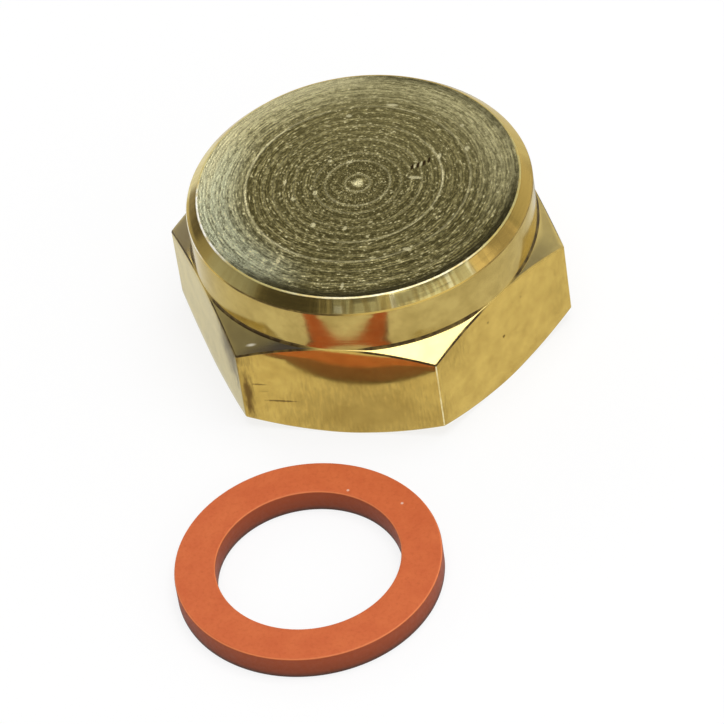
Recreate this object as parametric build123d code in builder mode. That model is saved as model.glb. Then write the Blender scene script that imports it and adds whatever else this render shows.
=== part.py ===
import os
from math import radians, sqrt, tan

from build123d import *

# Hexagon and turned collar, millimetres, origin on the cap's axis in the plane of its open rim
across_flats = 32.0
hex_height = 10.6
hex_chamfer_angle = 30.0
collar_diameter = 31.9
cap_height = 16.2
edge_chamfer_radial = 1.1
edge_chamfer_axial = 1.25

# Blind bore for a 3/4 inch parallel pipe thread
thread_major_diameter = 26.441
thread_minor_diameter = 24.117
end_wall = 3.0
relief_clearance = 0.2
mouth_clearance = 0.3
seat_corner_radius = 0.4

# Flat fibre sealing washer, lying in front of the cap: it drops through the thread onto the seat
washer_bore_diameter = 16.6
washer_thickness = 2.4
washer_fit_clearance = 0.117
washer_end_clearance = 0.6
washer_edge_break = 0.15
washer_spacing = 6.1

# Sizes that follow from those above
chamfer_slope = tan(radians(hex_chamfer_angle))
blank_margin = 1.0
blank_radius = across_flats / sqrt(3) + blank_margin
collar_radius = collar_diameter / 2
corner_drop = (blank_radius - collar_radius) * chamfer_slope
face_radius = collar_radius - edge_chamfer_radial
minor_radius = thread_minor_diameter / 2
relief_radius = thread_major_diameter / 2 + relief_clearance
mouth_radius = thread_major_diameter / 2 + mouth_clearance
mouth_depth = mouth_radius - minor_radius
seat_height = cap_height - end_wall
relief_width = washer_thickness + washer_end_clearance
relief_start = seat_height - relief_width
relief_slope = relief_radius - minor_radius
washer_diameter = thread_minor_diameter - washer_fit_clearance
washer_centre_y = -(across_flats / 2 + washer_spacing + washer_diameter / 2)

os.makedirs("parts", exist_ok=True)


# The cap is hexagon bar, turned to a collar and bored blind from below
with BuildPart() as cap:
    with BuildSketch() as bar:
        RegularPolygon(across_flats / 2, 6, major_radius=False)
    extrude(amount=cap_height)

    # Turned outside: a cone on each end of the hexagon, the collar and its chamfered top edge
    with BuildSketch(Plane.XZ) as turned:
        with BuildLine():
            Polyline(
                (0, 0),
                (collar_radius, 0),
                (blank_radius, corner_drop),
                (blank_radius, hex_height - corner_drop),
                (collar_radius, hex_height),
                (collar_radius, cap_height - edge_chamfer_axial),
                (face_radius, cap_height),
                (0, cap_height),
                close=True,
            )
        make_face()
    revolve(axis=Axis.Z, mode=Mode.INTERSECT)

    # Bore: chamfered mouth, wall at the thread's crests, relief groove and flat seat
    with BuildSketch(Plane.XZ) as bore:
        with BuildLine():
            Polyline(
                (0, 0),
                (mouth_radius, 0),
                (minor_radius, mouth_depth),
                (minor_radius, relief_start - relief_slope),
                (relief_radius, relief_start),
                (relief_radius, seat_height),
                (0, seat_height),
                close=True,
            )
        make_face()
    revolve(axis=Axis.Z, mode=Mode.SUBTRACT)

    # The groove meets the seat in a small tool radius
    seat_edge = cap.edges().filter_by(GeomType.CIRCLE).filter_by_position(
        Axis.Z, seat_height - seat_corner_radius, seat_height + seat_corner_radius
    )
    fillet(seat_edge, seat_corner_radius)

cap.part.label = "cap"
export_step(cap.part, "parts/cap.step")


# The washer is punched from sheet, so its edges are only just broken
with BuildPart() as sealing_washer:
    with BuildSketch(Plane.XY) as ring:
        with Locations((0, washer_centre_y)):
            Circle(washer_diameter / 2)
            Circle(washer_bore_diameter / 2, mode=Mode.SUBTRACT)
    extrude(amount=washer_thickness)
    chamfer(sealing_washer.edges().filter_by(GeomType.CIRCLE), washer_edge_break)

sealing_washer.part.label = "sealing_washer"
export_step(sealing_washer.part, "parts/sealing_washer.step")
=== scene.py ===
import math

import bmesh
import bpy
from mathutils import Matrix, Vector


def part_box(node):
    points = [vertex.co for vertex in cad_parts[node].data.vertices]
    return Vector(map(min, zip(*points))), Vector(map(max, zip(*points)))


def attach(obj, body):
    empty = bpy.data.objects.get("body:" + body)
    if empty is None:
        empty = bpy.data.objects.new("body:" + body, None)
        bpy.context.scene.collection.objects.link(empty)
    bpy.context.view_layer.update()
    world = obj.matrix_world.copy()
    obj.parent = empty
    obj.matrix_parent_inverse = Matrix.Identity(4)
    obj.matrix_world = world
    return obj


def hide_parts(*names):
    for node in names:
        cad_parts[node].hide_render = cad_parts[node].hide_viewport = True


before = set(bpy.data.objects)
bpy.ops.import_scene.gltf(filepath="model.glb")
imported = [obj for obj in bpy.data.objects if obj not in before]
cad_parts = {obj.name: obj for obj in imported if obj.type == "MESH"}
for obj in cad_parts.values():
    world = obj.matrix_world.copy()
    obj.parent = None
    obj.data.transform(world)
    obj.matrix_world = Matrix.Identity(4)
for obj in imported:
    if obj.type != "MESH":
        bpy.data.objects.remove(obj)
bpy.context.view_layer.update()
mm = 0.001  # sizes here are in millimetres, the frame is in metres
capHigh = Vector(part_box("cap")[1]) / mm  # highest corner
washerLow, washerHigh = [Vector(corner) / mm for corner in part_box("sealing_washer")]
print("frame loaded:", sorted(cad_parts))


# helpers shared by the shader and geometry trees

def put(tree, kind, settings=None, inputs=None):
    node = tree.nodes.new(kind)
    for key, value in (settings or {}).items():
        setattr(node, key, value)
    for key, value in (inputs or {}).items():
        if isinstance(value, bpy.types.NodeSocket):
            tree.links.new(value, node.inputs[key])
        else:
            node.inputs[key].default_value = value
    return node


def calc(tree, operation, first, second=0.0):
    return put(tree, "ShaderNodeMath", {"operation": operation}, {0: first, 1: second}).outputs[0]


def product(tree, first, second):
    return calc(tree, "MULTIPLY", first, second)


def vectorCalc(tree, operation, first, second=(0.0, 0.0, 0.0)):
    sockets = put(tree, "ShaderNodeVectorMath", {"operation": operation}, {0: first, 1: second}).outputs
    return sockets["Value" if operation in ("LENGTH", "DISTANCE", "DOT_PRODUCT") else "Vector"]


def spread(tree, value, low, high, toLow, toHigh, smooth=False):
    kind = "SMOOTHSTEP" if smooth else "LINEAR"
    sockets = {"Value": value, "From Min": low, "From Max": high, "To Min": toLow, "To Max": toHigh}
    return put(tree, "ShaderNodeMapRange", {"interpolation_type": kind}, sockets).outputs["Result"]


def turnedPlace(tree, place):
    # radius from the cap's axis, direction round it, and height
    split = put(tree, "ShaderNodeSeparateXYZ", inputs={0: place})
    flat = put(tree, "ShaderNodeCombineXYZ", inputs={0: split.outputs[0], 1: split.outputs[1]}).outputs[0]
    return vectorCalc(tree, "LENGTH", flat), vectorCalc(tree, "NORMALIZE", flat), split.outputs[2]


# the middle part of a noise, from wide to narrow: most of its values lie between these
wideNoise, midNoise, firmNoise = (0.25, 0.75), (0.3, 0.7), (0.35, 0.65)


def noise(tree, place, scale, detail, seed):
    sockets = {"Vector": place, "W": seed, "Scale": scale, "Detail": detail, "Roughness": 0.6}
    return put(tree, "ShaderNodeTexNoise", {"noise_dimensions": "4D"}, sockets).outputs["Fac"]


def toolMarks(tree, travel, around, pitch, arcs, detail, seed):
    # noise drawn out round the axis: travel is across the marks, arcs sets how often a mark breaks
    turn = put(tree, "ShaderNodeVectorMath", {"operation": "SCALE"}, {0: around, "Scale": arcs}).outputs[0]
    step = calc(tree, "DIVIDE", travel, pitch * mm)
    lift = put(tree, "ShaderNodeCombineXYZ", inputs={2: step}).outputs[0]
    return noise(tree, vectorCalc(tree, "ADD", turn, lift), 1.0, detail, seed)


def mottle(tree, place, size, detail, seed):
    return noise(tree, place, 1 / (size * mm), detail, seed)


def blendColour(tree, amount, first, second):
    node = put(tree, "ShaderNodeMix", {"data_type": "RGBA"})
    named = {socket.identifier: socket for socket in node.inputs}
    for key, value in (("Factor_Float", amount), ("A_Color", first), ("B_Color", second)):
        if isinstance(value, bpy.types.NodeSocket):
            tree.links.new(value, named[key])
        else:
            named[key].default_value = value if isinstance(value, float) else (*value, 1.0)
    return [socket for socket in node.outputs if socket.identifier == "Result_Color"][0]


def feedRings(tree, radius, wander, pitch, loose):
    # waves at the feed of the tool, which stray a little from true circles
    turns = calc(tree, "DIVIDE", calc(tree, "ADD", radius, -topFace["ringShift"] * mm), pitch * mm)
    turns = calc(tree, "ADD", turns, spread(tree, wander, *midNoise, -loose, loose))
    return calc(tree, "SINE", product(tree, turns, math.tau))


def facingShare(tree, around, side):
    # how far a place round the axis lies towards one side
    along = vectorCalc(tree, "DOT_PRODUCT", around, (*side["towards"], 0.0))
    return spread(tree, along, side["from"], side["full"], 0.0, side["strength"], smooth=True)


def spotShare(tree, place, centre, half, fade, ragged=None):
    # 1 inside a small ellipsoid, falling to 0 at its edge
    shift = vectorCalc(tree, "SUBTRACT", place, Vector(centre) * mm)
    reach = vectorCalc(tree, "LENGTH", vectorCalc(tree, "DIVIDE", shift, Vector(half) * mm))
    if ragged:
        reach = calc(tree, "ADD", reach, ragged)
    return spread(tree, reach, fade, 1.0, 1.0, 0.0, smooth=True)


def startMaterial(name, metallic):
    material = bpy.data.materials.new(name)
    material.use_nodes = True
    tree = material.node_tree
    shader = tree.nodes["Principled BSDF"]
    shader.inputs["Metallic"].default_value = metallic
    if metallic:
        shader.inputs["Specular Tint"].default_value = (*brass["grazing"], 1.0)
    place = put(tree, "ShaderNodeTexCoord").outputs["Object"]
    return material, tree, shader, place


def emboss(tree, shader, height, depth, strength):
    bump = put(tree, "ShaderNodeBump", inputs={"Height": height, "Distance": depth * mm, "Strength": strength})
    tree.links.new(bump.outputs["Normal"], shader.inputs["Normal"])


def growMesh(name, tree, values, start=None):
    # runs a geometry tree once and keeps what it makes as a plain mesh
    seedling = bpy.data.objects.new(name + "Start", start or bpy.data.meshes.new(name + "Start"))
    bpy.context.collection.objects.link(seedling)
    grow = seedling.modifiers.new("grow", "NODES")
    grow.node_group = tree
    for item in tree.interface.items_tree:
        if item.name in values:
            grow[item.identifier] = values[item.name]
    made = bpy.data.meshes.new_from_object(seedling.evaluated_get(bpy.context.evaluated_depsgraph_get()))
    bpy.data.objects.remove(seedling)
    piece = bpy.data.objects.new(name, made)
    bpy.context.collection.objects.link(piece)
    return piece


shading = {"sharpAngle": 50.0, "faceWeight": 80}


def evenNormals(piece):
    # wide faces keep their own normal, so only the broken edges shade round
    for face in piece.data.polygons:
        face.use_smooth = True
    piece.data.set_sharp_from_angle(angle=math.radians(shading["sharpAngle"]))
    weigh = piece.modifiers.new("weigh", "WEIGHTED_NORMAL")
    weigh.mode = "FACE_AREA"
    weigh.weight = shading["faceWeight"]
    weigh.keep_sharp = True
    made = bpy.data.meshes.new_from_object(piece.evaluated_get(bpy.context.evaluated_depsgraph_get()))
    piece.modifiers.remove(weigh)
    piece.data = made
    made.name = piece.name


def newTree(name, floats):
    tree = bpy.data.node_groups.new(name, "GeometryNodeTree")
    tree.interface.new_socket(name="Geometry", in_out="INPUT", socket_type="NodeSocketGeometry")
    tree.interface.new_socket(name="Geometry", in_out="OUTPUT", socket_type="NodeSocketGeometry")
    for socket in floats:
        tree.interface.new_socket(name=socket, in_out="INPUT", socket_type="NodeSocketFloat")
    entry = tree.nodes.new("NodeGroupInput")
    leave = tree.nodes.new("NodeGroupOutput")
    return tree, entry.outputs, leave.inputs["Geometry"]


# brass finishes

brass = {
    "bright": (0.63, 0.44, 0.105),
    "shade": (0.50, 0.335, 0.072),
    "turned": (0.52, 0.39, 0.118),
    "turnedShade": (0.41, 0.297, 0.082),
    "cone": (0.60, 0.46, 0.130),
    "coneShade": (0.50, 0.37, 0.095),
    "chatter": (0.62, 0.46, 0.135),
    "chatterShade": (0.34, 0.23, 0.055),
    # pale and warm tones of painted reflections on the chamfer and the top rim
    "palePaintedLight": (0.60, 0.53, 0.22),
    "warmPaintedLight": (0.68, 0.44, 0.11),
    # dark tone of real stains, and of painted shade on the flats, the shoulders and the collar's lip
    "stainAndShade": (0.13, 0.07, 0.018),
    # dark tone of painted shade in the shoulders' edges, on the chamfer, the front left shoulder and the collar's lip
    "crease": (0.055, 0.032, 0.010),
    # pale tone of painted highlights on the top rim, the collar's lip and the shoulders
    "worn": (0.95, 0.92, 0.82),
    "facedDark": (0.135, 0.112, 0.037),
    "facedMid": (0.66, 0.57, 0.24),
    "facedEdge": (0.065, 0.055, 0.022),
    "facedGlint": (0.97, 0.88, 0.50),
    "edgeRub": (0.88, 0.78, 0.46),
    "grazing": (0.90, 0.87, 0.72),
    "drawnGrazing": (0.80, 0.82, 0.66),
    "stainAndShadeGrazing": (0.20, 0.17, 0.08),
}

# rings on the top face with a painted highlight: radius, half width, strength, brightest side,
# and the share of the strength that is left opposite it
ringHighlights = [
    {"radius": 0.0, "half": 0.70, "strength": 1.6, "towards": (0.0, -1.0), "least": 1.0},
    {"radius": 1.15, "half": 0.18, "strength": 0.60, "towards": (0.0, -1.0), "least": 0.6},
    {"radius": 3.0, "half": 0.17, "strength": 0.62, "towards": (0.0, -1.0), "least": 0.8},
    {"radius": 4.0, "half": 0.15, "strength": 0.36, "towards": (-1.0, 0.0), "least": 0.8},
    {"radius": 4.9, "half": 0.11, "strength": 0.20, "towards": (1.0, 0.0), "least": 0.6},
    {"radius": 5.9, "half": 0.15, "strength": 0.36, "towards": (0.6, 0.8), "least": 0.6},
    {"radius": 6.8, "half": 0.10, "strength": 0.18, "towards": (-1.0, 0.0), "least": 0.5},
    {"radius": 7.8, "half": 0.17, "strength": 0.85, "towards": (0.97, -0.24), "least": 0.2},
    {"radius": 8.7, "half": 0.11, "strength": 0.18, "towards": (-1.0, 0.0), "least": 0.5},
    {"radius": 9.5, "half": 0.10, "strength": 0.16, "towards": (0.0, -1.0), "least": 0.6},
    {"radius": 10.35, "half": 0.20, "strength": 0.85, "towards": (-0.94, -0.34), "least": 0.45},
    {"radius": 11.6, "half": 0.17, "strength": 0.28, "towards": (-0.7, 0.7), "least": 0.5},
    {"radius": 12.7, "half": 0.14, "strength": 0.20, "towards": (0.7, 0.7), "least": 0.5},
    {"radius": 13.2, "half": 0.25, "strength": 0.20, "towards": (-0.7, -0.7), "least": 0.5},
]

# small dashes on the top face, painted shade in the first list, painted glints in the second: centre and half sizes
paintedShadeDashes = [
    (4.65, 2.38, 0.16, 0.50), (5.16, 2.67, 0.16, 0.50), (5.67, 2.97, 0.16, 0.50), (6.06, 3.39, 0.16, 0.50),
]
paintedGlintDashes = [
    (5.16, 1.01, 0.80, 0.24), (6.93, 3.97, 0.22, 0.50), (5.42, 2.85, 0.14, 0.40), (4.90, 2.55, 0.14, 0.40),
    (-6.72, -0.30, 0.16, 0.50), (-3.68, -1.55, 0.25, 0.40), (-1.25, 2.73, 0.35, 0.22), (-3.07, 2.76, 0.25, 0.20),
    (-2.40, 8.90, 0.35, 0.25), (1.36, 10.59, 0.70, 0.25), (6.04, -8.36, 0.50, 0.28), (-3.09, -5.75, 0.30, 0.40),
    (-0.09, -5.97, 0.20, 0.35), (-5.57, -2.45, 0.30, 0.25), (8.33, 8.23, 0.25, 0.25), (9.30, 5.17, 0.30, 0.40),
    (0.96, -13.32, 0.18, 0.50), (-5.45, -10.46, 0.25, 0.60),
]

# sides of the top face's outer zone with a painted reflection: direction, where each starts and is full, strength
paintedLightSides = [
    {"towards": (-0.80, 0.60), "from": 0.42, "full": 0.90, "strength": 0.97, "colour": (0.88, 0.80, 0.42)},
    {"towards": (-0.90, -0.44), "from": 0.55, "full": 0.95, "strength": 0.82, "colour": (0.84, 0.88, 0.60)},
    {"towards": (0.70, 0.71), "from": 0.40, "full": 0.97, "strength": 0.95, "colour": (0.86, 0.78, 0.40)},
]
# the back of the face gets a painted sheen, and its rim a painted highlight at the back left
backSheenSide = {"towards": (0.30, 0.95), "from": -0.1, "full": 0.95, "strength": 0.16}
backRimHighlight = {"towards": (-0.80, 0.60), "from": 0.55, "full": 0.90, "strength": 0.55}

# sides where the outer edge of the top face falls into shade
darkSides = [
    {"towards": (0.50, -0.87), "from": 0.0, "full": 0.7, "strength": 0.92},
    {"towards": (0.50, 0.87), "from": 0.72, "full": 0.95, "strength": 0.55},
]

# sides where an edge gets painted highlights and painted shade, and wear on the bar's edge: tone, direction,
# where each starts and is full, strength, and for some the radius beyond which it shows
edgeSides = {
    "worn": [
        {"tone": "palePaintedLight", "towards": (0.0, -1.0), "from": -1.0, "full": -0.5, "strength": 0.9},
        {"tone": "worn", "towards": (-0.906, -0.423), "from": 0.90, "full": 0.98, "strength": 1.0},
        {"tone": "worn", "towards": (0.36, -0.93), "from": 0.72, "full": 0.92, "strength": 0.4},
    ],
    "edge": [{"tone": "edgeRub", "towards": (0.50, -0.87), "from": 0.0, "full": 0.5, "strength": 1.0}],
    "crease": [
        {"tone": "crease", "towards": (0.0, -1.0), "from": -0.6, "full": -0.25, "strength": 1.0},
        {"tone": "bright", "towards": (0.97, -0.24), "from": 0.94, "full": 0.98, "strength": 0.9, "beyond": 16.1},
    ],
    "lip": [
        {"tone": "crease", "towards": (-0.29, -0.957), "from": 0.88, "full": 0.96, "strength": 0.9},
        {"tone": "worn", "towards": (-0.96, -0.28), "from": 0.92, "full": 0.97, "strength": 0.9},
        {"tone": "stainAndShade", "towards": (0.99, -0.10), "from": 0.75, "full": 0.90, "strength": 0.7},
    ],
}

# the side of the chamfer where the tool chattered
chatterSide = {"towards": (0.42, -0.91), "from": 0.72, "full": 0.95, "strength": 1.0}

# painted highlights and painted shade round the top edge's chamfer: middle, half width and fade in degrees,
# colour, strength, and the lowest and highest level of those that cover only part of its height
chamferPaintedLight = [
    {"turn": -154, "half": 8, "fade": 7, "colour": "chatterShade", "strength": 0.35},
    {"turn": -187, "half": 11, "fade": 5, "colour": "facedGlint", "strength": 0.75},
    {"turn": -164, "half": 9, "fade": 7, "levels": (15.2, 16.3), "colour": "crease", "strength": 0.88},
    {"turn": 0, "half": 12, "fade": 10, "colour": "chatterShade", "strength": 1.0},
    {"turn": -129, "half": 9, "fade": 5, "colour": "palePaintedLight", "strength": 0.8},
    {"turn": -104.5, "half": 9, "fade": 4, "colour": "crease", "strength": 0.48},
    {"turn": -81, "half": 7.5, "fade": 1.5, "colour": "palePaintedLight", "strength": 0.6},
    {"turn": -78, "half": 3.5, "fade": 1.5, "levels": (15.6, 16.3), "colour": "crease", "strength": 0.55},
    {"turn": -86.5, "half": 1.0, "fade": 1.0, "levels": (15.0, 15.6), "colour": "facedGlint", "strength": 0.5},
    {"turn": -54, "half": 14, "fade": 1.5, "colour": "palePaintedLight", "strength": 0.85},
    {"turn": -63, "half": 3, "fade": 1.5, "colour": "chatterShade", "strength": 0.25},
    {"turn": -26, "half": 10, "fade": 3, "colour": "warmPaintedLight", "strength": 0.85},
    {"turn": -68.3, "half": 0.4, "fade": 0.7, "levels": (14.9, 16.3), "colour": "facedGlint", "strength": 0.8},
    {"turn": -48, "half": 0.5, "fade": 0.8, "levels": (14.9, 16.3), "colour": "facedGlint", "strength": 0.4},
    {"turn": -42, "half": 1.2, "fade": 1.0, "colour": "chatterShade", "strength": 0.35},
    {"turn": -39, "half": 0.4, "fade": 0.7, "levels": (14.9, 16.3), "colour": "facedGlint", "strength": 0.5},
]

# painted highlight on the front right shoulder, painted shade and glint on the front left, the left one darker
shoulderMarks = [
    {"at": (8.3, -14.4, 9.9), "half": (9.0, 9.0, 3.0), "fade": 0.85, "colour": "worn", "strength": 0.065},
    {"at": (-4.0, -15.75, 10.4), "half": (4.4, 1.3, 1.1), "fade": 0.2, "colour": "crease", "strength": 0.85},
    {"at": (-6.5, -16.0, 9.9), "half": (5.0, 0.9, 1.6), "fade": 0.2, "colour": "stainAndShade", "strength": 0.6},
    {"at": (-7.85, -15.17, 9.94), "half": (0.75, 0.20, 0.5), "fade": 0.1, "colour": "worn", "strength": 0.7,
     "metal": 0.1},
    {"at": (-16.8, -2.0, 10.0), "half": (3.0, 6.0, 3.0), "fade": 0.2, "colour": "stainAndShade", "strength": 0.55},
]

# marks on the flats, two of them painted shade: centre, half sizes, strength, and the share of each at full tone
flatMarks = {
    "brown streak": {"at": (-8.62, -16.0, 4.2), "half": (0.70, 0.7, 5.2), "strength": 0.92, "fade": 0.15},
    "edge tarnish": {"at": (-8.95, -16.0, 5.0), "half": (0.95, 0.9, 7.0), "strength": 0.30, "fade": 0.2},
    "long scratch": {"at": (-5.65, -16.0, 3.74), "half": (2.1, 0.4, 0.17), "strength": 0.85, "fade": 0.4},
    "short scratch": {"at": (-7.55, -16.0, 5.75), "half": (1.0, 0.4, 0.15), "strength": 0.7, "fade": 0.4},
    "low scratch": {"at": (-7.2, -16.0, 4.9), "half": (0.6, 0.4, 0.08), "strength": 0.3, "fade": 0.5},
    # painted shade where the front and left flats mirror the floor in shade
    "front painted shade": {"at": (2.4, -16.0, 2.6), "half": (12.0, 2.0, 6.4), "strength": 0.36, "fade": 0.1},
    "left painted shade": {"at": (-10.2, -14.3, 9.0), "half": (3.6, 5.2, 6.4), "strength": 0.85, "fade": 0.0},
    "right dark patch": {"at": (10.4, -14.1, 9.8), "half": (3.6, 4.4, 4.2), "strength": 0.30, "fade": 0.0},
    "end dark patch": {"at": (17.6, -1.5, 4.6), "half": (1.8, 2.6, 4.4), "strength": 0.16, "fade": 0.0},
    "large pit": {"at": (13.81, -8.09, 5.4), "half": (0.24, 0.24, 0.2), "strength": 0.85, "fade": 0.5},
    "upper pit": {"at": (12.9, -9.65, 8.6), "half": (0.15, 0.15, 0.14), "strength": 0.6, "fade": 0.5},
    "right pit": {"at": (15.2, -5.65, 8.1), "half": (0.14, 0.14, 0.13), "strength": 0.55, "fade": 0.5},
}


# the top face: its tool marks, what each adds to the tone, and the radii between which its tones change
topFace = {
    "metal": 0.97,
    "wander": {"pitch": 1.5, "arcs": 1.0, "detail": 1.0, "seed": 3.0},
    "broken": {"pitch": 1.8, "arcs": 2.6, "detail": 1.0, "seed": 13.0},
    "short": {"pitch": 0.18, "arcs": 15.0, "detail": 1.0, "seed": 8.0},
    "grain": {"size": 0.22, "detail": 1.0, "seed": 5.0},
    "ringShift": 0.05,
    "feedLoose": 0.15,
    "feedWeight": 0.15,
    "finePerFeed": 3,
    "fineLoose": 0.5,
    "fineWeight": (0.03, 0.18),
    "shortWeight": (-0.08, 0.52),
    "grainWeight": (-0.08, 0.50),
    "fullMark": 0.95,  # marks of this height have the palest tone
    "contrast": 1.9,
    "centre": (2.0, 9.0),
    "centreDark": 0.22,
    "lift": (2.0, 6.0),
    "outer": (10.2, 13.3),
    "outerLeast": 0.10,
    "markFrom": (0.0, 0.7),  # low and high marks, for the painted paler sides and the bold rings' highlight
    "paintedLightLeast": 0.2,  # share of the painted paler sides' tone that low marks take
    "rim": (13.1, 13.9),
    "edge": (13.7, 14.4),
    "glintShort": (0.54, 0.64),  # the highest short marks get a painted glint where the grain is high too
    "glintGrain": (0.52, 0.62),
    "ringBroken": (0.38, 0.62),  # the bold rings' painted highlight is stronger in some arcs and on high marks
    "ringArcs": (0.4, 1.0),
    "ringMarks": (0.55, 1.3),
    "ringSide": (-0.2, 0.8),
    "dashDepth": 1.0,
    "dashFade": 0.55,
    "roughness": (0.20, 0.36),
    "bump": {"depth": 0.03, "strength": 0.6},
}


def zoneShare(tree, radius, zone, inside, outside, smooth=False):
    start, end = topFace[zone]
    return spread(tree, radius, start * mm, end * mm, inside, outside, smooth)


def facedBrass():
    # turning rings at the feed of the tool, with finer ones between, broken by short painted glints
    look = topFace
    material, tree, shader, place = startMaterial("facedBrass", look["metal"])
    radius, around, _ = turnedPlace(tree, place)
    wander, broken, short = [toolMarks(tree, radius, around, **look[key]) for key in ("wander", "broken", "short")]
    grain = mottle(tree, place, **look["grain"])
    pitch = facing["Ring pitch"]
    fine = feedRings(tree, radius, wander, pitch / look["finePerFeed"], look["fineLoose"])
    marks = product(tree, feedRings(tree, radius, wander, pitch, look["feedLoose"]), look["feedWeight"])
    for more in (product(tree, fine, spread(tree, broken, *firmNoise, *look["fineWeight"])),
                 spread(tree, short, *wideNoise, *look["shortWeight"]),
                 spread(tree, grain, *wideNoise, *look["grainWeight"])):
        marks = calc(tree, "ADD", marks, more)
    shine = calc(tree, "POWER", spread(tree, marks, 0.0, look["fullMark"], 0.0, 1.0), look["contrast"])
    colour = blendColour(tree, shine, brass["facedDark"], brass["facedMid"])
    centre = zoneShare(tree, radius, "centre", look["centreDark"], 0.0)
    colour = blendColour(tree, centre, colour, brass["facedDark"])
    backSheen = product(tree, facingShare(tree, around, backSheenSide), zoneShare(tree, radius, "lift", 0.0, 1.0))
    colour = blendColour(tree, backSheen, colour, brass["facedMid"])

    # painted reflections on the outer zone, and a painted highlight on the back rim
    outer = zoneShare(tree, radius, "outer", look["outerLeast"], 1.0, smooth=True)
    outer = product(tree, outer, calc(tree, "GREATER_THAN", radius, look["outer"][0] * mm))
    kept = spread(tree, marks, *look["markFrom"], look["paintedLightLeast"], 1.0)
    for side in paintedLightSides:
        share = product(tree, product(tree, facingShare(tree, around, side), outer), kept)
        colour = blendColour(tree, share, colour, side["colour"])
    rim = product(tree, facingShare(tree, around, backRimHighlight), zoneShare(tree, radius, "rim", 0.0, 1.0))
    colour = blendColour(tree, rim, colour, brass["facedGlint"])

    # painted glints, and painted highlights on the bold rings
    paintedGlint = product(tree, spread(tree, short, *look["glintShort"], 0.0, 1.0),
                    spread(tree, grain, *look["glintGrain"], 0.0, 1.0))
    arcs = product(tree, spread(tree, broken, *look["ringBroken"], *look["ringArcs"]),
                   spread(tree, marks, *look["markFrom"], *look["ringMarks"]))
    for ring in ringHighlights:
        away = calc(tree, "ABSOLUTE", calc(tree, "SUBTRACT", radius, ring["radius"] * mm))
        line = spread(tree, away, 0.0, ring["half"] * mm, ring["strength"], 0.0, smooth=True)
        start, full = look["ringSide"]
        side = {"towards": ring["towards"], "from": start, "full": full, "strength": 1.0 - ring["least"]}
        lit = product(tree, arcs, calc(tree, "ADD", facingShare(tree, around, side), ring["least"]))
        paintedGlint = calc(tree, "MAXIMUM", paintedGlint, product(tree, line, lit))
    colour = blendColour(tree, paintedGlint, colour, brass["facedGlint"])

    # painted shade and painted glints of small dashes, and the shaded edge
    for tone, spots in (("crease", paintedShadeDashes), ("facedGlint", paintedGlintDashes)):
        for x, y, halfX, halfY in spots:
            half = (halfX, halfY, look["dashDepth"])
            share = spotShare(tree, place, (x, y, capHigh.z), half, look["dashFade"])
            colour = blendColour(tree, share, colour, brass[tone])
    edge = zoneShare(tree, radius, "edge", 0.0, 1.0, smooth=True)
    for side in darkSides:
        fall = product(tree, edge, facingShare(tree, around, side))
        colour = blendColour(tree, fall, colour, brass["facedEdge"])
    tree.links.new(colour, shader.inputs["Base Color"])
    tree.links.new(spread(tree, short, *midNoise, *look["roughness"]), shader.inputs["Roughness"])
    emboss(tree, shader, marks, **look["bump"])
    return material


# the collar, the bore and the shoulders
turnedLook = {
    "metal": 0.94,
    "coatRoughness": 0.5,
    "marks": {"pitch": 0.16, "arcs": 2.0, "detail": 2.0, "seed": 5.0},
    "cloud": {"size": 2.2, "detail": 3.0, "seed": 2.0},
    "cloudFrom": (0.36, 0.62),
    "roughness": (0.09, 0.18),
    "bump": {"depth": 0.01, "strength": 0.25},
}


def turnedBrass(name, bright, shade, haze, spots):
    look = turnedLook
    material, tree, shader, place = startMaterial(name, look["metal"])
    shader.inputs["Coat Weight"].default_value = haze
    shader.inputs["Coat Roughness"].default_value = look["coatRoughness"]
    radius, around, height = turnedPlace(tree, place)
    marks = toolMarks(tree, calc(tree, "ADD", radius, height), around, **look["marks"])
    cloud = mottle(tree, place, **look["cloud"])
    colour = blendColour(tree, spread(tree, cloud, *look["cloudFrom"], 0.0, 1.0), brass[bright], brass[shade])
    # the spots paint highlights, shade and a glint, which is less metallic so that it shows pale
    for spot in spots:
        share = spotShare(tree, place, spot["at"], spot["half"], spot["fade"])
        share = product(tree, share, spot["strength"])
        colour = blendColour(tree, share, colour, brass[spot["colour"]])
        if "metal" in spot:
            glintMetal = spread(tree, share, 0.0, 1.0, look["metal"], spot["metal"])
            tree.links.new(glintMetal, shader.inputs["Metallic"])
    tree.links.new(colour, shader.inputs["Base Color"])
    tree.links.new(spread(tree, marks, *midNoise, *look["roughness"]), shader.inputs["Roughness"])
    emboss(tree, shader, marks, **look["bump"])
    return material


# the chamfer of the top edge
chamferLook = {
    "metal": 0.96,
    "ticks": {"pitch": 2.5, "arcs": 26.0, "detail": 1.0, "seed": 15.0},
    "marks": {"pitch": 0.18, "arcs": 5.0, "detail": 2.0, "seed": 17.0},
    "tickFrom": (0.42, 0.56),
    "tickLeast": 0.12,
    "tickMore": 0.42,  # added on the side that chattered
    "levels": (14.8, 16.3),
    "levelFade": 0.15,
    "shade": 0.35,
    "roughness": (0.12, 0.24),
    "tickRelief": 0.5,
    "markRelief": 0.4,
    "bump": {"depth": 0.05, "strength": 0.6},
}


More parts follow.
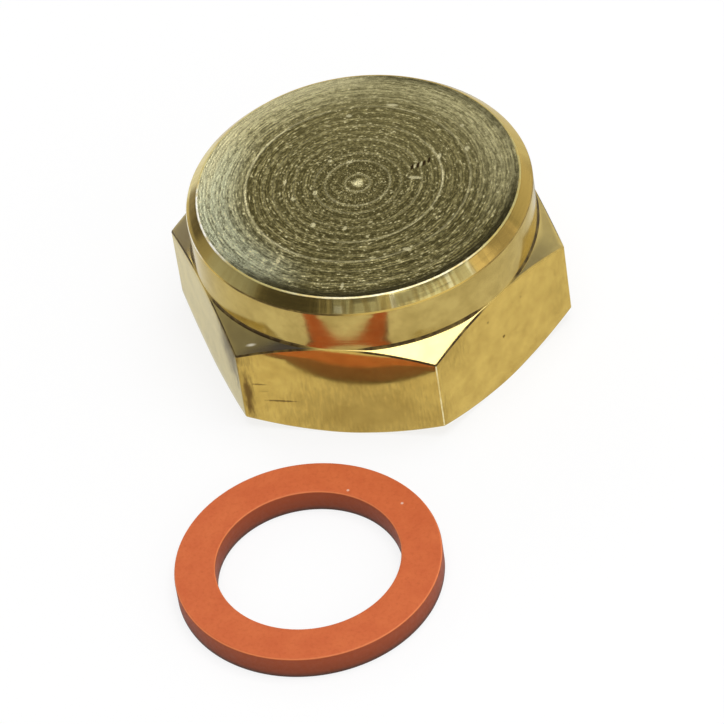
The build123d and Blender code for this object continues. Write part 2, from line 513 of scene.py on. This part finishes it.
def chatteredBrass():
    # on one side tool chatter crosses the chamfer in short ticks
    look, fade = chamferLook, chamferLook["levelFade"]
    material, tree, shader, place = startMaterial("chatteredBrass", look["metal"])
    _, around, height = turnedPlace(tree, place)
    ticks, marks = [toolMarks(tree, height, around, **look[key]) for key in ("ticks", "marks")]
    depth = product(tree, facingShare(tree, around, chatterSide), look["tickMore"])
    depth = calc(tree, "ADD", look["tickLeast"], depth)
    blocks = product(tree, spread(tree, ticks, *look["tickFrom"], -0.5, 0.5), depth)
    colour = brass["chatter"]
    # painted highlights and painted shade, set by direction round the axis
    for zone in chamferPaintedLight:
        turn, half = math.radians(zone["turn"]), zone["half"]
        low, high = zone.get("levels", look["levels"])
        side = {"towards": (math.cos(turn), math.sin(turn)), "strength": zone["strength"],
                "from": math.cos(math.radians(half + zone["fade"])), "full": math.cos(math.radians(half))}
        share = product(tree, facingShare(tree, around, side),
                        spread(tree, height, low * mm, (low + fade) * mm, 0.0, 1.0))
        share = product(tree, share, spread(tree, height, (high - fade) * mm, high * mm, 1.0, 0.0))
        colour = blendColour(tree, share, colour, brass[zone["colour"]])
    colour = blendColour(tree, calc(tree, "SUBTRACT", look["shade"], blocks), colour, brass["chatterShade"])
    tree.links.new(colour, shader.inputs["Base Color"])
    tree.links.new(spread(tree, marks, *midNoise, *look["roughness"]), shader.inputs["Roughness"])
    relief = calc(tree, "ADD", product(tree, blocks, look["tickRelief"]), product(tree, marks, look["markRelief"]))
    emboss(tree, shader, relief, **look["bump"])
    return material


# the broken edges, with the least share of painted light, painted shade and wear on each
edgeLook = {
    "metal": 0.7,
    "blotch": {"size": 0.9, "detail": 2.0, "seed": 31.0},
    "blotchFrom": (0.35, 0.55),
    "least": {"worn": 0.3, "edge": 0.3, "crease": 0.8, "lip": 0.7},
    "flatMiddle": (-0.95, -0.45),  # cosine of six times the direction: painted shade fades out between these
    "roughness": 0.42,
}


def edgeWearAndPaintedLight(name):
    # painted highlights and shade on the edges, wear on the bar's edge, and no shade where a flat meets the collar
    look = edgeLook
    material, tree, shader, place = startMaterial(name + "Brass", look["metal"])
    radius, around, _ = turnedPlace(tree, place)
    blotch = spread(tree, mottle(tree, place, **look["blotch"]), *look["blotchFrom"], look["least"][name], 1.0)
    if name == "crease":
        split = put(tree, "ShaderNodeSeparateXYZ", inputs={0: around}).outputs
        sixfold = calc(tree, "COSINE", product(tree, calc(tree, "ARCTAN2", split[1], split[0]), 6.0))
        blotch = product(tree, blotch, spread(tree, sixfold, *look["flatMiddle"], 0.0, 1.0))
    colour = brass["bright"]
    for side in edgeSides[name]:
        share = product(tree, blotch, facingShare(tree, around, side))
        if "beyond" in side:
            share = product(tree, share, calc(tree, "GREATER_THAN", radius, side["beyond"] * mm))
        colour = blendColour(tree, share, colour, brass[side["tone"]])
    tree.links.new(colour, shader.inputs["Base Color"])
    shader.inputs["Roughness"].default_value = look["roughness"]
    return material


# the flats, as the bar was drawn
flatLook = {
    "metal": 0.80,
    "stretch": (1.0, 1.0, 0.2),
    "lines": {"size": 0.22, "detail": 2.0, "seed": 4.0},
    "cloud": {"size": 1.8, "detail": 4.0, "seed": 6.0},
    "grain": {"size": 0.16, "detail": 1.0, "seed": 9.0},
    "cloudFrom": (0.36, 0.68),
    "speckFrom": (0.66, 0.76),  # the highest grain is dark specks, fewer where the cloud is low
    "speckShare": 0.55,
    "speckCloud": (0.45, 0.60),
    "speckLeast": 0.2,
    "ragged": 0.25,
    "roughness": (0.05, 0.12),
    "bump": {"depth": 0.01, "strength": 0.18},
}


def drawnBrass():
    look = flatLook
    material, tree, shader, place = startMaterial("drawnBrass", look["metal"])
    stretch = put(tree, "ShaderNodeMapping", inputs={"Vector": place, "Scale": look["stretch"]}).outputs[0]
    lines = mottle(tree, stretch, **look["lines"])
    cloud, grain = [mottle(tree, place, **look[key]) for key in ("cloud", "grain")]
    colour = blendColour(tree, spread(tree, cloud, *look["cloudFrom"], 0.0, 1.0), brass["bright"], brass["shade"])
    worn = product(tree, spread(tree, grain, *look["speckFrom"], 0.0, look["speckShare"]),
                   spread(tree, cloud, *look["speckCloud"], look["speckLeast"], 1.0))
    ragged = spread(tree, lines, *midNoise, -look["ragged"], look["ragged"])
    for mark in flatMarks.values():
        share = spotShare(tree, place, mark["at"], mark["half"], mark["fade"], ragged)
        worn = calc(tree, "MAXIMUM", worn, product(tree, share, mark["strength"]))
    colour = blendColour(tree, worn, colour, brass["stainAndShade"])
    tree.links.new(colour, shader.inputs["Base Color"])
    grazing = blendColour(tree, worn, brass["drawnGrazing"], brass["stainAndShadeGrazing"])
    tree.links.new(grazing, shader.inputs["Specular Tint"])
    tree.links.new(spread(tree, cloud, *midNoise, *look["roughness"]), shader.inputs["Roughness"])
    emboss(tree, shader, lines, **look["bump"])
    return material


# the cap: hexagon bar turned to a collar, lofted round the axis from one section for each direction

capSizes = {
    "hexHeight": 10.6,
    "hexChamferAngle": 30.0,
    "collarDiameter": 31.9,
    "edgeChamferRadial": 1.1,
    "edgeChamferAxial": 1.25,
    "threadMajor": 26.441,
    "endWall": 3.0,
    "reliefWidth": 3.0,
    "reliefClearance": 0.2,
    "mouthClearance": 0.3,
    "edgeBreak": 0.10,  # how far each turned edge is rounded back
    "creaseBreak": 0.20,  # the same for the edges of the shoulders, which carry painted shade
    "barBreak": 0.13,
    "rimBreak": 0.10,  # the same for the edge of the top face
    "crownRadius": 10.4,  # the facing tool lets the outer zone fall a little
    "crownFall": 0.16,
    "cornerRound": 0.24,  # radius on the bar's long edges
    "bendSteps": 3,
    "bendLimit": 0.4,  # the share of a side that a rounded corner may take up
    "wornEdge": -60.0,  # the bar's edge that is rubbed pale, and half the width of the rubbing, in degrees
    "wornHalf": 0.2,
    "flatSpan": 60.0,  # degrees that one flat takes up
    "coarseStep": 1.5,  # degrees between sections on the plain stretches
    "crowdedSteps": [29.0, 29.5, 29.72, 29.82, 29.91],  # near the bar's edge, in degrees from the flat's middle
    "faceRow": 0.1,
    "weldGap": 2e-7,  # metres
    "sliverLength": 1e-7,
}
facing = {
    "Ring pitch": 0.93,
    "Ring depth": 0.012,
    "Dish radius": 1.0,
    "Dish depth": 0.06,
    "Pip radius": 0.32,
    "Pip height": 0.055,
}
facingLook = {"seed": 4.0, "leastDepth": 0.3}  # some rings are cut only to this share of the depth


def capAngles():
    # sections crowd at the bar's edges
    span, step = capSizes["flatSpan"], capSizes["coarseStep"]
    steps = [0.0]
    while steps[-1] + step < capSizes["crowdedSteps"][0]:
        steps.append(steps[-1] + step)
    steps += capSizes["crowdedSteps"]
    sector = [-back for back in reversed(steps[1:])] + steps + [span / 2]
    middles = [span / 2 + span * turn for turn in range(round(360 / span))]
    return [math.radians(middle + turn) for middle in middles for turn in sector]


def barRadius(angle):
    # the bar's outline: a hexagon with its long edges rounded
    apothem, edge = capHigh.y, capSizes["cornerRound"]
    half = capSizes["flatSpan"] / 2
    fromFlat = math.degrees(angle) % capSizes["flatSpan"] - half
    fromEdge = math.radians(half - abs(fromFlat))
    lean = math.radians(half)
    centre = (apothem - edge) / math.cos(lean)
    if fromEdge < math.atan2(edge * math.sin(lean), centre + edge * math.cos(lean)):
        return centre * math.cos(fromEdge) + math.sqrt(edge ** 2 - (centre * math.sin(fromEdge)) ** 2)
    return apothem / math.cos(math.radians(fromFlat))


def capSection(angle):
    # corners of the section from the seat's centre, out of the mouth and up to the top's centre
    size = capSizes
    top = capHigh.z
    collar = size["collarDiameter"] / 2
    bar = barRadius(angle)
    drop = (bar - collar) * math.tan(math.radians(size["hexChamferAngle"]))
    root = size["threadMajor"] / 2
    relief = root + size["reliefClearance"]
    mouth = root + size["mouthClearance"]
    seat = top - size["endWall"]
    reliefLow = seat - size["reliefWidth"]
    shoulder = top - size["edgeChamferAxial"]
    rim, crown = collar - size["edgeChamferRadial"], size["crownRadius"]
    edge, rimEdge = size["edgeBreak"], size["rimBreak"]
    outerRows, innerRows = [round(span / size["faceRow"]) for span in (rim - crown, crown)]
    return [  # radius, height, how far the corner is broken, its finish, rows up to the next corner, their finish
        (0.0, seat, 0.0, "turned", 8, "turned"),
        (relief, seat, edge, "turned", 3, "turned"),
        (relief, reliefLow, edge, "turned", 2, "turned"),
        (root, reliefLow - size["reliefClearance"], edge, "turned", 8, "turned"),
        (root, mouth - root, edge, "turned", 2, "turned"),
        (mouth, 0.0, edge, "turned", 3, "turned"),
        (collar, 0.0, edge, "turned", 3, "cone"),
        (bar, drop, edge, "cone", 10, "drawn"),
        (bar, size["hexHeight"] - drop, size["barBreak"], "crease", 4, "cone"),
        (collar, size["hexHeight"], size["creaseBreak"], "crease", 6, "turned"),
        (collar, shoulder, edge, "lip", 3, "chattered"),
        (rim, top - size["crownFall"], rimEdge, "worn", outerRows, "turned"),
        (crown, top, edge, "turned", innerRows, "turned"),
        (0.0, top, 0.0, "turned", 0, "turned"),
    ]


def capRows(stops):
    # the section with its corners rounded back, and the finish of each row
    corners = [Vector(stop[:2]) for stop in stops]
    steps, limit = capSizes["bendSteps"], capSizes["bendLimit"]
    points, finishes = [], []
    leave = corners[0]
    for index in range(1, len(corners)):
        here, bend, bendFinish = corners[index], *stops[index][2:4]
        rows, finish = stops[index - 1][4:]
        last = index == len(corners) - 1
        back = corners[index - 1] - here
        on = here * 0.0 if last else corners[index + 1] - here
        reach = min(bend, back.length * limit, on.length * limit)
        arrive = here + back.normalized() * reach
        points += [leave.lerp(arrive, step / rows) for step in range(rows)]
        finishes += [finish] * rows
        if last:
            points.append(here)
            break
        leave = here + on.normalized() * reach
        for step in range(steps):
            t = step / steps
            points.append(arrive * (1 - t) ** 2 + here * 2 * t * (1 - t) + leave * t * t)
        finishes += [bendFinish] * steps
    return points, finishes


def loftCap(finishList):
    build = bmesh.new()
    slots = list(finishList)
    angles = capAngles()
    columns = []
    for angle in angles:
        points, rowFinishes = capRows(capSection(angle))
        spot = Vector((math.cos(angle), math.sin(angle)))
        columns.append([build.verts.new((spot.x * p.x * mm, spot.y * p.x * mm, p.y * mm)) for p in points])
    for number, column in enumerate(columns):
        after = (number + 1) % len(columns)
        following = columns[after]
        between = math.degrees(angles[number] + angles[after]) / 2
        rubbed = abs((between - capSizes["wornEdge"] + 180) % 360 - 180) < capSizes["wornHalf"]
        for row, finish in enumerate(rowFinishes):
            face = build.faces.new((column[row], following[row], following[row + 1], column[row + 1]))
            face.material_index = slots.index("edge" if rubbed and finish == "drawn" else finish)
    bmesh.ops.remove_doubles(build, verts=build.verts, dist=capSizes["weldGap"])
    bmesh.ops.dissolve_degenerate(build, edges=build.edges, dist=capSizes["sliverLength"])
    bmesh.ops.recalc_face_normals(build, faces=build.faces)
    mesh = bpy.data.meshes.new("capLoft")
    build.to_mesh(mesh)
    build.free()
    for material in finishList.values():
        mesh.materials.append(material)
    return mesh


def facingTree(faced):
    # turning rings cut into the top face, with the shallow dish and pip that a facing tool leaves
    tree, entry, leave = newTree("facingRings", ["Face radius", "Face height", "Crown fall", "Seed", *facing])
    place = put(tree, "GeometryNodeInputPosition").outputs[0]
    radius, around, height = turnedPlace(tree, place)
    feed = calc(tree, "DIVIDE", radius, entry["Ring pitch"])
    depths = put(tree, "ShaderNodeTexNoise", {"noise_dimensions": "4D"}, {
        "Vector": around, "W": calc(tree, "ADD", entry["Seed"], feed), "Scale": 0.8, "Detail": 1.0}).outputs["Fac"]
    waves = spread(tree, calc(tree, "SINE", product(tree, feed, math.tau)), -1.0, 1.0, 0.0, 1.0)
    rings = product(tree, waves, spread(tree, depths, *midNoise, facingLook["leastDepth"], 1.0))
    cut = product(tree, rings, entry["Ring depth"])
    dish = spread(tree, radius, 0.0, entry["Dish radius"], entry["Dish depth"], 0.0, smooth=True)
    pip = spread(tree, radius, 0.0, entry["Pip radius"], entry["Pip height"], 0.0, smooth=True)
    sink = calc(tree, "SUBTRACT", pip, calc(tree, "ADD", cut, dish))
    inside = calc(tree, "LESS_THAN", radius, entry["Face radius"])
    level = calc(tree, "SUBTRACT", entry["Face height"], calc(tree, "ADD", entry["Dish depth"], entry["Crown fall"]))
    onTop = product(tree, inside, calc(tree, "GREATER_THAN", height, level))
    offset = put(tree, "ShaderNodeCombineXYZ", inputs={2: sink}).outputs[0]
    shaped = put(tree, "GeometryNodeSetPosition",
                 inputs={"Geometry": entry["Geometry"], "Selection": onTop, "Offset": offset}).outputs[0]
    single = put(tree, "GeometryNodeRealizeInstances", inputs={"Geometry": shaped}).outputs[0]
    finish = put(tree, "GeometryNodeSetMaterial", inputs={"Geometry": single, "Selection": onTop, "Material": faced})
    tree.links.new(finish.outputs[0], leave)
    return tree


def makeCap(finishList, faced):
    values = {name: size * mm for name, size in facing.items()}
    rim = capSizes["collarDiameter"] / 2 - capSizes["edgeChamferRadial"]
    values["Face radius"] = (rim - capSizes["rimBreak"]) * mm
    values["Face height"] = capHigh.z * mm
    values["Crown fall"] = capSizes["crownFall"] * mm
    values["Seed"] = facingLook["seed"]
    cap = growMesh("capBody", facingTree(faced), values, loftCap(finishList))
    evenNormals(cap)
    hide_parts("cap")
    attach(cap, "root")
    print("cap:", len(cap.data.polygons), "faces")


# the pipe thread inside the cap: a ridge swept along a helix

thread = {
    "Root radius": 13.24,
    "Pitch": 1.814,
    "Ridge height": 1.18,
    "Ridge foot": 1.70,
    "Ridge crest": 0.46,
    "Crest round": 0.2,
    "Start height": 0.9,
    "Run": 9.0,
}
threadEnds = {"grownAt": 0.16, "fadesFrom": 0.9, "least": 0.05}  # shares of the run, and of the full ridge
threadSteps = {"turn": 96, "crest": 3}


def threadTree(turned):
    tree, entry, leave = newTree("pipeThread", thread)
    turns = calc(tree, "DIVIDE", entry["Run"], entry["Pitch"])
    helix = put(tree, "GeometryNodeCurveSpiral", inputs={
        "Resolution": threadSteps["turn"], "Rotations": turns, "Start Radius": entry["Root radius"],
        "End Radius": entry["Root radius"], "Height": entry["Run"], "Reverse": True}).outputs[0]
    rise = put(tree, "ShaderNodeCombineXYZ", inputs={2: entry["Start height"]}).outputs[0]
    placed = put(tree, "GeometryNodeTransform", inputs={"Geometry": helix, "Translation": rise}).outputs[0]
    upright = put(tree, "GeometryNodeSetCurveNormal", {"mode": "Z_UP"}, {"Curve": placed}).outputs[0]
    along = put(tree, "GeometryNodeSplineParameter").outputs["Factor"]
    least = threadEnds["least"]
    grown = product(tree, spread(tree, along, 0.0, threadEnds["grownAt"], least, 1.0),
                    spread(tree, along, threadEnds["fadesFrom"], 1.0, 1.0, least))
    faded = put(tree, "GeometryNodeSetCurveRadius", inputs={"Curve": upright, "Radius": grown}).outputs[0]
    ridge = put(tree, "GeometryNodeCurvePrimitiveQuadrilateral", {"mode": "TRAPEZOID"}, {
        "Bottom Width": entry["Ridge foot"], "Top Width": entry["Ridge crest"],
        "Height": entry["Ridge height"], "Offset": 0.0}).outputs[0]
    middle = product(tree, entry["Ridge height"], 0.5)
    seat = put(tree, "ShaderNodeCombineXYZ", inputs={1: middle}).outputs[0]
    seated = put(tree, "GeometryNodeTransform", inputs={"Geometry": ridge, "Translation": seat}).outputs[0]
    onSide = put(tree, "GeometryNodeTransform", inputs={
        "Geometry": seated, "Rotation": (0.0, 0.0, math.radians(90))}).outputs[0]
    eased = put(tree, "GeometryNodeFilletCurve", {"mode": "POLY"}, {
        "Curve": onSide, "Radius": entry["Crest round"],
        "Limit Radius": True, "Count": threadSteps["crest"]}).outputs[0]
    swept = put(tree, "GeometryNodeCurveToMesh", inputs={"Curve": faded, "Profile Curve": eased, "Fill Caps": True})
    single = put(tree, "GeometryNodeRealizeInstances", inputs={"Geometry": swept.outputs[0]}).outputs[0]
    finish = put(tree, "GeometryNodeSetMaterial", inputs={"Geometry": single, "Material": turned})
    tree.links.new(finish.outputs[0], leave)
    return tree


def makeThread(turned):
    ridge = growMesh("pipeThread", threadTree(turned), {name: size * mm for name, size in thread.items()})
    evenNormals(ridge)
    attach(ridge, "root")
    spans = [math.hypot(v.co.x, v.co.y) / mm for v in ridge.data.vertices]
    print("thread: radius", round(min(spans), 2), "to", round(max(spans), 2), "faces", len(ridge.data.polygons))


# the washer: a rounded strip swept round a circle

washer = {
    "boreDiameter": 16.6,
    "edgeRound": 0.22,
    "top": (0.565, 0.110, 0.026),
    "pale": (0.62, 0.137, 0.035),
    "dark": (0.43, 0.078, 0.026),
    # sides darker, partly their own tone and partly painted shade, paler towards their top as painted light
    "side": (0.23, 0.040, 0.0065),
    "sideTop": (0.29, 0.050, 0.0080),
    # a painted highlight on the rounded top edge, and painted shade at the foot
    "rim": (0.80, 0.25, 0.085),
    "edge": (0.05, 0.024, 0.014),
    "fleck": (0.85, 0.72, 0.6),
    "flecks": [(2.07, -25.46), (7.24, -26.72)],
    "fleckSize": 0.16,
    "fleckShare": 0.6,
    "cloud": {"size": 2.5, "detail": 4.0, "seed": 1.0},
    "fibre": {"size": 0.35, "detail": 3.0, "seed": 7.0},
    "darkFrom": (0.5, 0.75),
    "darkShare": 0.4,
    "sideTilt": (0.25, 0.75),  # upward part of the normal, between side and top
    "sideLevels": (0.9, 1.8),  # the side pales between these heights
    "rimTilt": (0.35, 0.65),  # the rounded edge, from the side and up to the top
    "rimTopTilt": (0.75, 0.97),
    "rimShare": 0.6,
    "footLevels": (0.1, 0.8),  # the painted shade at the foot fades between these heights
    "footShare": 0.95,
    "roughness": (0.55, 0.75),
    "specular": 0.35,
    "bump": {"depth": 0.03, "strength": 0.35},
    "ringSteps": 256,
    "edgeSteps": 4,
}


def redFibre():
    look = washer
    material, tree, shader, place = startMaterial("redFibre", 0.0)
    cloud, fibre = [mottle(tree, place, **look[key]) for key in ("cloud", "fibre")]
    colour = blendColour(tree, spread(tree, cloud, *firmNoise, 0.0, 1.0), look["top"], look["pale"])
    dark = spread(tree, fibre, *look["darkFrom"], 0.0, look["darkShare"])
    colour = blendColour(tree, dark, colour, look["dark"])
    normal = put(tree, "ShaderNodeNewGeometry").outputs["Normal"]
    tilt = put(tree, "ShaderNodeSeparateXYZ", inputs={0: normal}).outputs[2]
    height = put(tree, "ShaderNodeSeparateXYZ", inputs={0: place}).outputs[2]
    # the sides: partly their own tone and partly painted shade, paler towards their top
    low, high = [level * mm for level in look["sideLevels"]]
    side = blendColour(tree, spread(tree, height, low, high, 0.0, 1.0), look["side"], look["sideTop"])
    colour = blendColour(tree, spread(tree, tilt, *look["sideTilt"], 1.0, 0.0, smooth=True), colour, side)
    # a painted highlight on the rounded top edge
    rim = product(tree, spread(tree, tilt, *look["rimTilt"], 0.0, look["rimShare"]),
                  spread(tree, tilt, *look["rimTopTilt"], 1.0, 0.0))
    colour = blendColour(tree, rim, colour, look["rim"])
    # painted shade at the foot
    low, high = [level * mm for level in look["footLevels"]]
    foot = spread(tree, height, low, high, look["footShare"], 0.0, smooth=True)
    colour = blendColour(tree, foot, colour, look["edge"])
    reach = look["fleckSize"] * mm
    for spot in look["flecks"]:
        away = vectorCalc(tree, "DISTANCE", place, Vector((*spot, washerHigh.z)) * mm)
        fleck = spread(tree, away, reach * 0.5, reach, look["fleckShare"], 0.0)
        colour = blendColour(tree, fleck, colour, look["fleck"])
    tree.links.new(colour, shader.inputs["Base Color"])
    tree.links.new(spread(tree, fibre, *midNoise, *look["roughness"]), shader.inputs["Roughness"])
    shader.inputs["Specular IOR Level"].default_value = look["specular"]
    emboss(tree, shader, fibre, **look["bump"])
    return material


def washerTree(fibre):
    sizes = ["Middle radius", "Width", "Thickness", "Edge round", "Centre Y"]
    tree, entry, leave = newTree("punchedRing", sizes)
    circle = put(tree, "GeometryNodeCurvePrimitiveCircle", inputs={
        "Resolution": washer["ringSteps"], "Radius": entry["Middle radius"]})
    upright = put(tree, "GeometryNodeSetCurveNormal", {"mode": "Z_UP"}, {"Curve": circle.outputs[0]}).outputs[0]
    strip = put(tree, "GeometryNodeCurvePrimitiveQuadrilateral", inputs={
        "Width": entry["Width"], "Height": entry["Thickness"]}).outputs[0]
    eased = put(tree, "GeometryNodeFilletCurve", {"mode": "POLY"}, {
        "Curve": strip, "Radius": entry["Edge round"], "Limit Radius": True, "Count": washer["edgeSteps"]}).outputs[0]
    swept = put(tree, "GeometryNodeCurveToMesh", inputs={"Curve": upright, "Profile Curve": eased}).outputs[0]
    half = product(tree, entry["Thickness"], 0.5)
    shift = put(tree, "ShaderNodeCombineXYZ", inputs={1: entry["Centre Y"], 2: half}).outputs[0]
    placed = put(tree, "GeometryNodeTransform", inputs={"Geometry": swept, "Translation": shift}).outputs[0]
    single = put(tree, "GeometryNodeRealizeInstances", inputs={"Geometry": placed}).outputs[0]
    finish = put(tree, "GeometryNodeSetMaterial", inputs={"Geometry": single, "Material": fibre})
    tree.links.new(finish.outputs[0], leave)
    return tree


def makeWasher(fibre):
    outer = (washerHigh.x - washerLow.x) / 2
    inner = washer["boreDiameter"] / 2
    ring = growMesh("fibreWasher", washerTree(fibre), {
        "Middle radius": (outer + inner) / 2 * mm,
        "Width": (outer - inner) * mm,
        "Thickness": (washerHigh.z - washerLow.z) * mm,
        "Edge round": washer["edgeRound"] * mm,
        "Centre Y": (washerHigh.y + washerLow.y) / 2 * mm,
    })
    evenNormals(ring)
    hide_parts("sealing_washer")
    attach(ring, "root")
    print("washer:", len(ring.data.polygons), "faces")


# studio: white table, one overhead softbox, a card on the right and one at the back, dim room

studio = {
    "floorSize": 3.0,
    "floorDrop": 0.00001,
    "floorColour": (0.95, 0.95, 0.95),
    "floorRoughness": 0.9,
    "floorSpecular": 0.1,
    "floorWhite": 0.80,  # share of plain white that the eye and the metal see in the table
    "floorShade": {"at": (2.0, 22.0), "from": 18.0, "full": 9.0, "light": 0.08},  # behind the cap, seen by the metal
    # sine of elevation and grey of the room
    "room": [(0.0, 0.85), (0.12, 0.75), (0.50, 0.46), (0.7, 0.29), (0.8, 0.22), (1.0, 0.22)],
    # parts of the room that are darker or lighter: direction, where each starts and is full, share of light
    "patches": [
        {"towards": (-0.56, -0.645, 0.52), "from": 0.90, "full": 0.975, "light": 0.3},
        {"towards": (-0.86, 0.50, 0.06), "from": 0.86, "full": 0.97, "light": 0.66},
        {"towards": (0.36, -0.70, 0.62), "from": 0.84, "full": 0.97, "light": 1.7},
        {"towards": (0.68, 0.71, 0.14), "from": 0.90, "full": 0.97, "light": 1.8},
    ],
    "softbox": {"towards": (0.14, -0.05, 0.99), "distance": 0.75, "size": (0.66, 0.60), "watts": 4.3},
    "sideCard": {"towards": (0.80, -0.36, 0.50), "distance": 0.8, "size": (0.84, 0.42), "watts": 0.70},
    "backCard": {"towards": (-0.60, 0.60, 0.53), "distance": 0.8, "size": (0.42, 0.36), "watts": 0.65},
}


def makeFloor():
    size = studio["floorSize"]
    mesh = bpy.data.meshes.new("floor")
    corners = [(-size, -size), (size, -size), (size, size), (-size, size)]
    mesh.from_pydata([(x, y, -studio["floorDrop"]) for x, y in corners], [], [(0, 1, 2, 3)])
    floor = bpy.data.objects.new("floor", mesh)
    bpy.context.collection.objects.link(floor)
    material, tree, shader, place = startMaterial("paleTable", 0.0)
    shader.inputs["Base Color"].default_value = (*studio["floorColour"], 1.0)
    shader.inputs["Roughness"].default_value = studio["floorRoughness"]
    shader.inputs["Specular IOR Level"].default_value = studio["floorSpecular"]
    path = put(tree, "ShaderNodeLightPath").outputs
    seen = path["Is Camera Ray"]
    for kind in ("Is Glossy Ray", "Is Transmission Ray"):
        seen = calc(tree, "MAXIMUM", seen, path[kind])
    dim = studio["floorShade"]
    away = vectorCalc(tree, "DISTANCE", place, Vector((*dim["at"], 0.0)) * mm)
    dark = spread(tree, away, dim["full"] * mm, dim["from"] * mm, 1.0 - dim["light"], 0.0, smooth=True)
    level = calc(tree, "SUBTRACT", 1.0, product(tree, dark, path["Is Glossy Ray"]))
    white = put(tree, "ShaderNodeEmission", inputs={"Strength": level}).outputs[0]
    share = product(tree, seen, studio["floorWhite"])
    mixed = put(tree, "ShaderNodeMixShader", inputs={0: share, 1: shader.outputs[0], 2: white}).outputs[0]
    tree.links.new(mixed, tree.nodes["Material Output"].inputs["Surface"])
    mesh.materials.append(material)


def makeLamp(name, lamp):
    light = bpy.data.lights.new(name, "AREA")
    light.shape = "RECTANGLE"
    light.size, light.size_y = lamp["size"]
    light.energy = lamp["watts"]
    towards = Vector(lamp["towards"]).normalized()
    holder = bpy.data.objects.new(name, light)
    holder.location = towards * lamp["distance"]
    holder.rotation_euler = towards.to_track_quat("Z", "Y").to_euler()
    bpy.context.collection.objects.link(holder)


def makeWorld():
    world = bpy.data.worlds.new("studioRoom")
    bpy.context.scene.world = world
    world.use_nodes = True
    tree = world.node_tree
    towards = put(tree, "ShaderNodeTexCoord").outputs["Generated"]
    split = put(tree, "ShaderNodeSeparateXYZ", inputs={0: towards})
    ramp = put(tree, "ShaderNodeValToRGB", inputs={"Fac": split.outputs[2]})
    while len(ramp.color_ramp.elements) < len(studio["room"]):
        ramp.color_ramp.elements.new(0.5)
    for element, (place, grey) in zip(ramp.color_ramp.elements, studio["room"]):
        element.position = place
        element.color = (grey, grey, grey, 1.0)
    shade = 1.0
    for patch in studio["patches"]:
        near = vectorCalc(tree, "DOT_PRODUCT", towards, Vector(patch["towards"]).normalized())
        share = spread(tree, near, patch["from"], patch["full"], 1.0, patch["light"], smooth=True)
        shade = product(tree, share, shade)
    tree.links.new(ramp.outputs["Color"], tree.nodes["Background"].inputs["Color"])
    tree.links.new(shade, tree.nodes["Background"].inputs["Strength"])


# camera, fitted to the photograph's edges

viewpoint = {
    "azimuth": 16.442,
    "elevation": 44.175,
    "roll": -9.059,
    "target": (-0.23, -6.88, 0.0),
    "distance": 532.7,
    "focalPixels": 5777.0,
    "imagePixels": 724.0,
    "sensorWidth": 36.0,
    "clip": (0.01, 20.0),  # metres
}


def makeCamera():
    turn, lift, roll = [math.radians(viewpoint[key]) for key in ("azimuth", "elevation", "roll")]
    back = Vector((math.sin(turn) * math.cos(lift), -math.cos(turn) * math.cos(lift), math.sin(lift)))
    right = Vector((math.cos(turn), math.sin(turn), 0.0))
    up = back.cross(right)
    across = right * math.cos(roll) + up * math.sin(roll)
    upright = up * math.cos(roll) - right * math.sin(roll)
    lens = bpy.data.cameras.new("photoCamera")
    lens.sensor_width = viewpoint["sensorWidth"]
    lens.lens = viewpoint["focalPixels"] / viewpoint["imagePixels"] * lens.sensor_width
    lens.clip_start, lens.clip_end = viewpoint["clip"]
    holder = bpy.data.objects.new("photoCamera", lens)
    place = (Vector(viewpoint["target"]) + back * viewpoint["distance"]) * mm
    axes = Matrix((across, upright, back)).transposed().to_4x4()
    holder.matrix_world = Matrix.Translation(place) @ axes
    bpy.context.collection.objects.link(holder)
    bpy.context.scene.camera = holder


turnedFinish = turnedBrass("turnedBrass", "turned", "turnedShade", haze=0.1, spots=[])
finishes = {"turned": turnedFinish, "drawn": drawnBrass(), "chattered": chatteredBrass()}
finishes["cone"] = turnedBrass("coneBrass", "cone", "coneShade", haze=1.0, spots=shoulderMarks)
for edgeName in edgeSides:
    finishes[edgeName] = edgeWearAndPaintedLight(edgeName)
print("brass finishes:", list(finishes))
makeCap(finishes, facedBrass())
makeThread(turnedFinish)
makeWasher(redFibre())
makeFloor()
for lampName in ("softbox", "sideCard", "backCard"):
    makeLamp(lampName, studio[lampName])
makeWorld()
makeCamera()
print("studio and camera set")
bpy.context.scene.view_settings.view_transform = "Standard"
